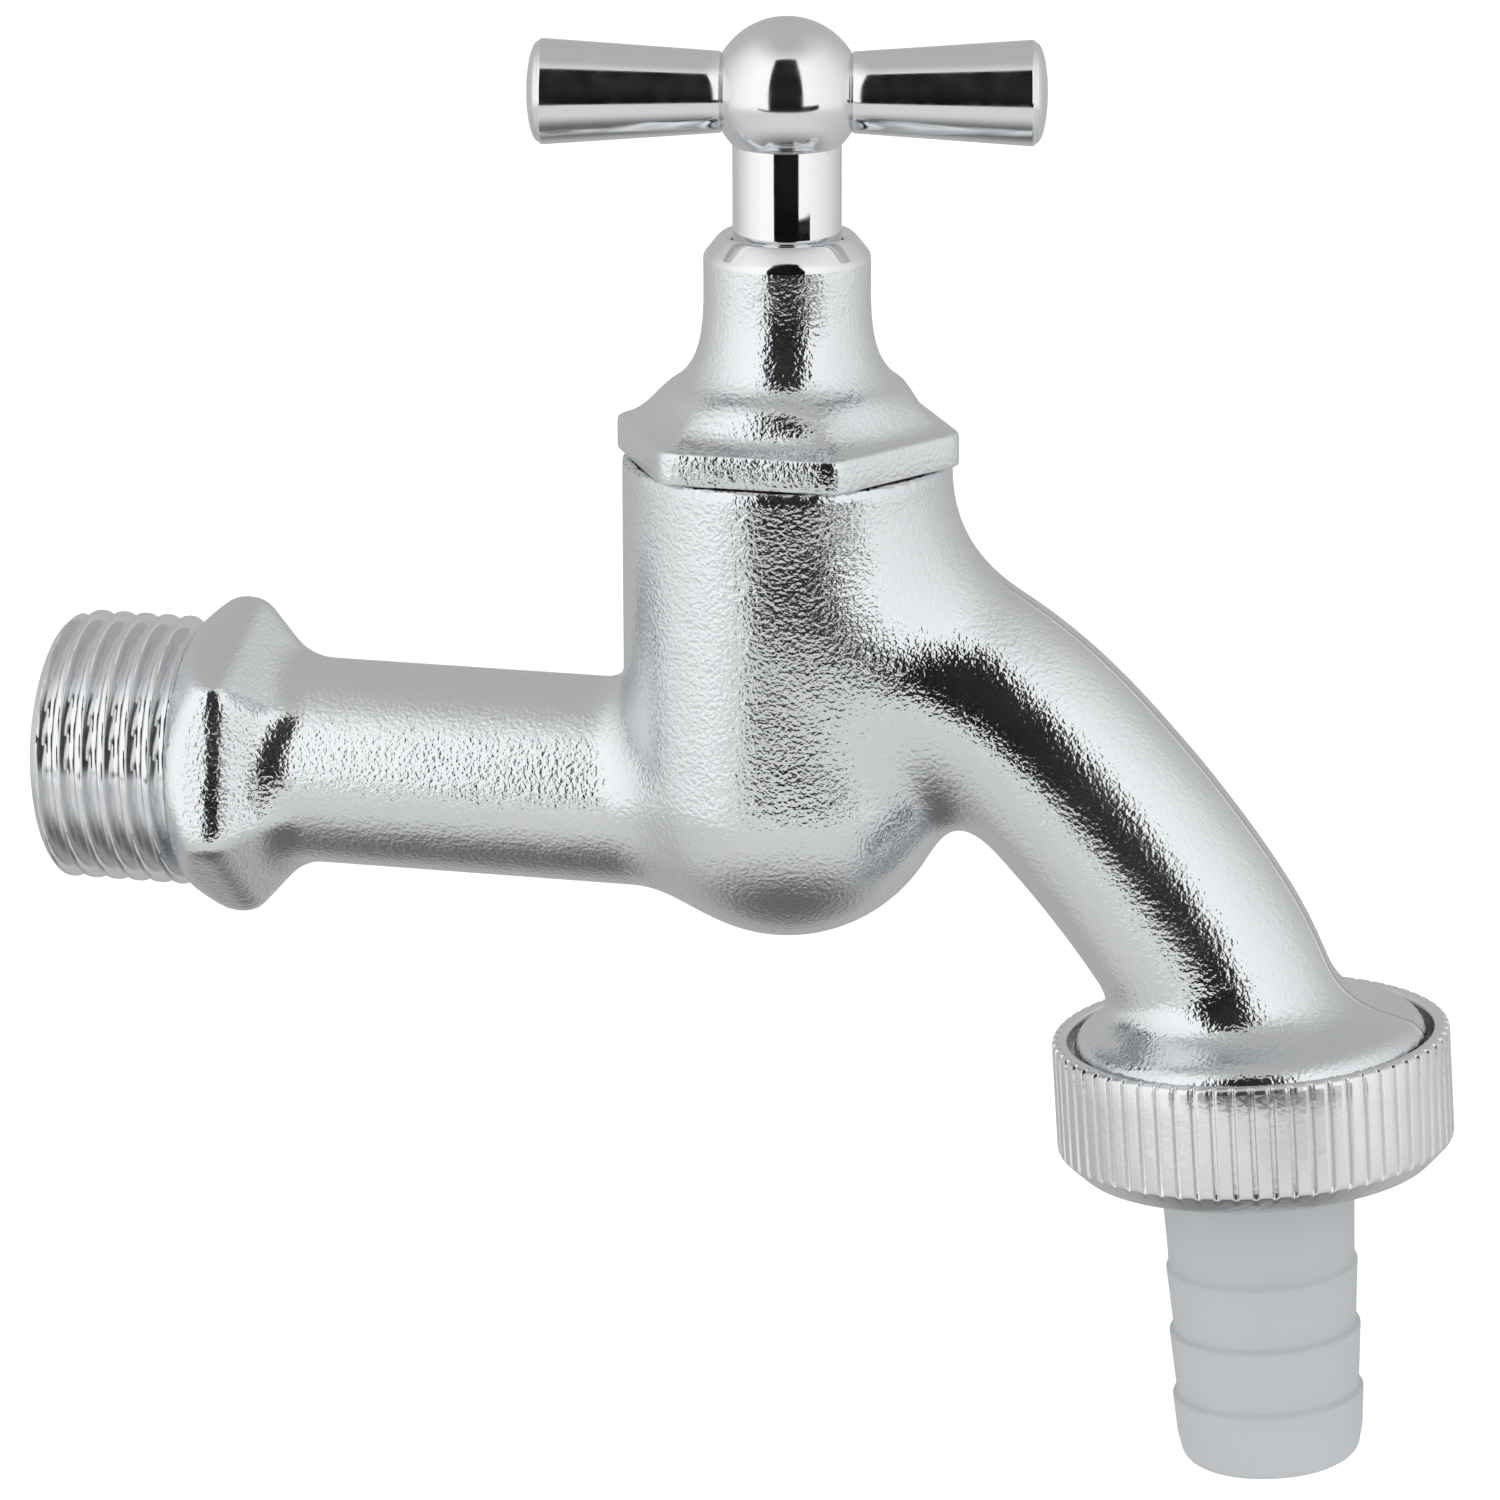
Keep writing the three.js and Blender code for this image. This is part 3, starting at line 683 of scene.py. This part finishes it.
def male_thread(start, end, major, minor, bore, entry, fade, count=192, step=0.085):
    """A threaded sleeve about Z; entry is the chamfered end's length, fade the run-out's."""
    heights = np.arange(start, end + step / 2, step)
    angle = np.arange(count) / count
    rings = []
    for z in heights:
        phase = ((z / PIPE_PITCH) - angle) % 1
        depth = thread_depth(phase, PIPE_PITCH, major - minor)
        radius = major - depth
        chamfer = minor + 0.45 + (z - start) * (major - minor - 0.45) / entry
        run_out = minor + (end - z) * (major - minor) / fade
        radius = np.minimum(radius, max(chamfer, minor))
        radius = np.minimum(radius, max(run_out, minor + 0.1))
        rings.append(ring(z, radius, count))
    rings.append(ring(end, bore, count))
    for z in np.linspace(end, start, 6)[1:]:
        rings.append(ring(z, bore, count))
    return skin(rings, closed=True)


def add_inlet_thread():
    points, faces = male_thread(INLET_END, 0.6, INLET_MAJOR, INLET_MINOR, INLET_BORE, 0.8, 1.6)
    add_piece("inlet_thread", points, faces, "valve", "valve_body",
              [THREAD_CHROME], ALONG_X)


def add_outlet_thread():
    points, faces = male_thread(-5.6, -1.0, OUTLET_MAJOR, OUTLET_MINOR, OUTLET_BORE, 0.9, 0.5)
    flip = Matrix.Rotation(math.pi, 4, "X")
    add_piece("outlet_thread", points, faces, "valve", "valve_body",
              [THREAD_CHROME], OUTLET @ flip)


# ---------- Bonnet ----------


def bonnet_rings(count=240):
    """Rings of the bonnet and the first and last of those that are polished.

    They climb the hexagon, the domed shoulder, the flared neck and the nose, then go down the bore.
    A station holds a height, the share of a circle mixed into the hexagon, and an inset.
    """
    hexes = hexagon(count, 11.77, 30)
    stations = [
        (26.48, 0.0, 0.12), (26.55, 0.0, 0.03), (26.7, 0.0, 0.0), (27.5, 0.0, 0.0), (28.4, 0.0, 0.0),
        (28.7, 0.0, 0.02), (28.88, 0.0, 0.09), (29.0, 0.01, 0.24), (29.1, 0.03, 0.45),
        (29.3, 0.09, 0.75), (29.6, 0.18, 1.0), (30.0, 0.31, 1.15), (30.5, 0.47, 1.1),
        (31.0, 0.63, 0.9), (31.5, 0.79, 0.55), (32.0, 0.94, 0.15),
    ]
    rings = [ring(z, (hexes - inset) * (1 - share) + 8.75 * share, count) for z, share, inset in stations]
    flare = [(8.55, 32.3), (8.15, 32.6), (7.75, 33.0), (7.35, 33.55), (7.0, 34.2), (6.72, 35.0),
             (6.5, 36.0), (6.36, 37.2), (6.3, 38.5), (6.3, 40.2), (6.3, 41.7)]
    nose = [(6.29, 41.9), (6.25, 42.05), (6.12, 42.25), (5.85, 42.6), (5.55, 42.98), (5.28, 43.3),
            (5.1, 43.48), (5.0, 43.56)]
    lip = [(4.93, 43.6), (4.84, 43.6), (4.6, 43.4), (4.36, 43.2), (4.27, 43.05), (4.25, 42.9), (4.25, 40.0)]
    inside = [(4.25, 32.6), (5.85, 32.6), (5.85, 25.6), (5.6, 25.5), (5.6, 20.3), (7.4, 20.2), (7.4, 18.1),
              (7.5, 18.0), (9.3, 18.0), (9.6, 18.3), (9.6, 26.1), (9.6, 26.48)]
    outline = flare + nose + lip + inside
    rings += [ring(z, r, count) for r, z in outline]
    polished = (len(stations) + len(flare) - 1, len(stations) + len(flare) + len(nose) + len(lip))
    return rings, polished


def add_bonnet():
    rings, (first, last) = bonnet_rings()
    points, faces = skin(rings, closed=True)
    piece = add_piece("bonnet_casting", points, faces, "valve", "bonnet",
                      [CAST, POLISHED], UPRIGHT, sharp=40)
    count = len(rings[0])
    for polygon in piece.data.polygons:
        row = polygon.index // count
        polygon.material_index = 1 if first <= row < last else 0


# ---------- Spindle and handle ----------


def o_ring_groove(middle):
    low, high = middle - 0.9, middle + 0.9
    return [(4.1, low), (2.75, low), (2.75, high), (4.1, high)]


def add_spindle():
    outline = [(2.3, 15.2), (2.5, 15), (4.3, 15), (4.6, 15.4), (4.6, 16.8), (5.35, 17.2), (5.35, 25.6),
               (4.6, 26), (4.1, 26.5), *o_ring_groove(34.6), *o_ring_groove(37.4),
               (4.1, 40), (4.1, 45), (4.1, 50.45),
               (3.0, 50.5), (3.0, 53.6), (2.3, 53.6), (2.3, 21)]
    points, faces = revolve(rounded(outline, 0.12, 2), 192)
    add_piece("spindle_stem", points, faces, "spindle", "spindle", [POLISHED], UPRIGHT)


def handle_frame():
    """The handle's own frame: X along the arms, taken from where the arms lie."""
    low, high = node_box("handle_arm_right")
    middle = (low + high) / 2 - np.array([STEM_X, 0, 0])
    turn = math.atan2(middle[1], middle[0])
    return Matrix.Translation((STEM_X, 0, BALL_Z)) @ Matrix.Rotation(turn, 4, "Z")


HANDLE = handle_frame()


def add_hub():
    """The ball, turned about the grub screw's axis so that the hole is part of its outline."""
    radius, hole, depth = 5.67, 1.45, 2.9
    edge = math.degrees(math.acos(hole / radius))
    outline = [(0, -radius)] + arc(0, 0, radius, -88.5, edge - 0.8, 72)
    outline += [(hole + 0.02, radius * math.sin(math.radians(edge)) - 0.06)]
    outline += [(hole, radius * math.sin(math.radians(edge)) - 0.16), (hole, depth), (0, depth)]
    points, faces = revolve_on_axis(outline, 160)
    to_back = Matrix.Rotation(-math.pi / 2, 4, "X")
    add_piece("handle_ball", points, faces, "spindle", "handle_hub",
              [HANDLE_CHROME], HANDLE @ to_back, sharp=40)


def add_arm(side, node):
    """A tapered arm with a crisp rim and a low domed end."""
    thin, thick, start, rim, tip = 3.05, 3.96, 4.6, 18.45, 19.45
    lip = [(thin - 0.25, start), (thin - 0.25, 4.82), (thin - 0.08, 4.9), (thin, 5.02)]
    straight = [(thin + (thick - thin) * t, 5.02 + (rim - 0.2 - 5.02) * t) for t in np.linspace(0.1, 1, 10)]
    end = [(thick - 0.03, rim - 0.05), (thick - 0.14, rim + 0.06)]
    reach = thick - 0.2
    dome = [
        (reach * math.cos(a), rim + 0.1 + (tip - rim - 0.1) * math.sin(a))
        for a in np.radians(np.linspace(3, 86, 16))
    ]
    outline = [(0, start), *lip, *straight, *end, *dome, (0, tip)]
    points, faces = revolve_on_axis(outline, 128)
    turn = ALONG_X if side > 0 else Matrix.Rotation(-math.pi / 2, 4, "Y")
    add_piece(node + "_lever", points, faces, "spindle", node,
              [HANDLE_CHROME], HANDLE @ turn)


def add_grub_screw():
    """A black set screw with a hexagon socket in its end."""
    count = 48
    socket = hexagon(count, 0.62, 80)
    outline = [(3.35, 1.05), (3.6, 1.25), (4.95, 1.25), (5.1, 1.1), (5.1, socket), (4.2, socket * 0.98)]
    rings = [ring(height, radius, count) for height, radius in outline]
    points, faces = skin(rings)
    to_back = Matrix.Rotation(-math.pi / 2, 4, "X")
    add_piece("grub_screw", points, faces, "spindle", "hub_grub_screw", [BLACK_STEEL],
              HANDLE @ to_back)


# ---------- Union nut and hose tail ----------

FLUTES = 64


def flute_depth(count, depth):
    """How far each point of a ring lies below the nut's lands."""
    phase = (np.arange(count) * FLUTES / count) % 1
    offset = np.minimum(np.abs(phase - 0.5) * 2, 1)
    cut = np.clip((offset - 0.62) / 0.26, 0, 1)
    return depth * cut * cut * (3 - 2 * cut)


def add_nut():
    """The nut from its rim down; a station holds a depth, an inset and a share of the flutes."""
    count = FLUTES * 12
    angle = np.arange(count) / count
    cut = flute_depth(count, 0.34)
    land = 15.1
    outside = [(0.0, 0.42, 0.5), (0.05, 0.2, 0.85), (0.2, 0.05, 1), (0.45, 0, 1), (2.5, 0, 1), (5.5, 0, 1),
               (8.2, 0, 1), (8.5, 0.03, 0.8), (8.62, 0.1, 0.3), (8.75, 0.22, 0.0), (9.3, 0.75, 0.0),
               (9.9, 1.35, 0.0), (10.12, 1.6, 0.0), (10.2, 1.85, 0.0)]
    rings = [ring(s, land - inset - cut * share, count) for s, inset, share in outside]
    lower = [(8.3, 10.2), (8.0, 9.95), (8.0, 8.95), (8.25, 8.7), (12.2, 8.7), (12.4, 8.5), (12.4, 6.3)]
    rings += [ring(s, r, count) for r, s in lower]
    for s in np.arange(5.9, 1.99, -0.1):
        phase = (s / PIPE_PITCH + angle + 0.34) % 1
        groove = thread_depth(phase, PIPE_PITCH, 1.0)
        blend = min(1, (5.9 - s) / 0.3, (s - 1.95) / 0.5)
        rings.append(ring(s, 13.6 - (1.0 - groove) * blend, count))
    upper = [(13.62, 1.8), (13.9, 1.5), (13.9, 0.7), (13.9, 0.25), (14.0, 0.08), (14.2, 0.0)]
    rings += [ring(s, r, count) for r, s in upper]
    points, faces = skin(rings, closed=True)
    add_piece("union_nut_fluted", points, faces, "nut", "union_nut", [NUT_CHROME], OUTLET,
              sharp=50)


def add_hose_tail():
    barbs = []
    for k in range(3):
        s = 18.5 + 5.14 * k
        root = 7.13 if k == 0 else 7.0
        barbs += [(root, s - 0.45), (root + 0.05, s - 0.3), (7.24, s - 0.12), (7.32, s + 0.02),
                  (7.32, s + 0.2), (7.26, s + 0.9), (7.12, s + 3.0)]
    outline = [(4.7, 7.5), (4.9, 7.3), (11.7, 7.3), (11.9, 7.5), (11.9, 8.2), (11.7, 8.4),
               (7.9, 8.4), (7.6, 8.6), (7.5, 9.0), (7.42, 11.0), (7.28, 14.0), (7.15, 16.8), *barbs,
               (6.95, 32.6), (6.86, 33.1), (6.7, 33.5), (6.45, 33.8), (6.1, 34.02), (5.8, 34.1),
               (4.95, 34.1), (4.75, 33.9), (4.7, 33.5), (4.7, 20)]
    points, faces = revolve(outline, 192)
    add_piece("hose_tail_moulding", points, faces, "tail", "hose_tail", [GREY_PLASTIC],
              OUTLET, sharp=30)


# ---------- Assembly ----------


def dress_inner_nodes():
    """CAD pieces that stay as they are inside the valve, with their own materials."""
    finishes = {
        "bonnet_gasket": FIBRE,
        "spindle_o_ring_lower": RUBBER,
        "spindle_o_ring_upper": RUBBER,
        "jumper": BRASS,
        "valve_washer": RUBBER,
        "washer_nut": BRASS,
        "tail_gasket": RUBBER,
    }
    for name, material in finishes.items():
        slots = frame["nodes"][name].data.materials
        slots.clear()
        slots.append(material)


add_casting()
add_inlet_thread()
add_outlet_thread()
add_bonnet()
add_spindle()
add_hub()
add_arm(1, "handle_arm_right")
add_arm(-1, "handle_arm_left")
add_grub_screw()
add_nut()
add_hose_tail()
dress_inner_nodes()
